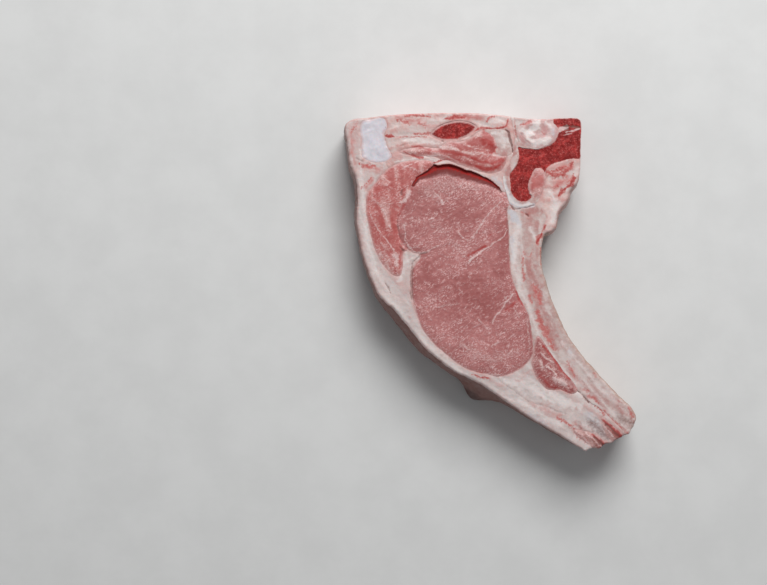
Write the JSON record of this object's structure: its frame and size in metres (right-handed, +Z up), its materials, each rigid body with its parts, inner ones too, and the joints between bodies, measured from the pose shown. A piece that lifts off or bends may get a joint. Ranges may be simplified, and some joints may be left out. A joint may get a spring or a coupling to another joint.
{
  "type": "raw veal rib chop",
  "caption": "Raw bone-in veal rib chop lying flat: pale rib and sawn backbone, pink loin eye and cap muscle, fat cover with a trimmed tail end.",
  "frame": {"origin": "under the middle of the chop, on the surface it lies on", "axes": "+Z up through the thickness; +Y towards the sawn backbone, away from the tail end of the rib; +X towards the vertebra and the rib's outer side"},
  "size_m": [0.1466, 0.169, 0.0287],
  "materials": {
    "meat": "moist raw veal, pink with fine pale speckle",
    "fat": "smooth pale pinkish-white fat, slightly moist",
    "bone": "freshly sawn pale bone with pink stains",
    "cartilage": "bluish-white cartilage, slightly glossy",
    "marrow": "dark red spongy marrow, moist"
  },
  "bodies": {
    "root": {"loin_eye": "meat", "cap_muscle": "meat", "upper_muscle": "meat", "rib_muscle": "meat", "disc_muscle": "meat", "tail_muscle_upper": "meat", "tail_muscle_lower": "meat", "fat_cover": "fat", "back_fat": "fat", "chine_fat": "fat", "rib_bone": "bone", "vertebra_bone": "bone", "facet_bone": "bone", "spinal_canal": "bone", "spine_cartilage": "cartilage", "vertebra_marrow": "marrow", "feather_bone": "marrow"}
  },
  "joints": []
}
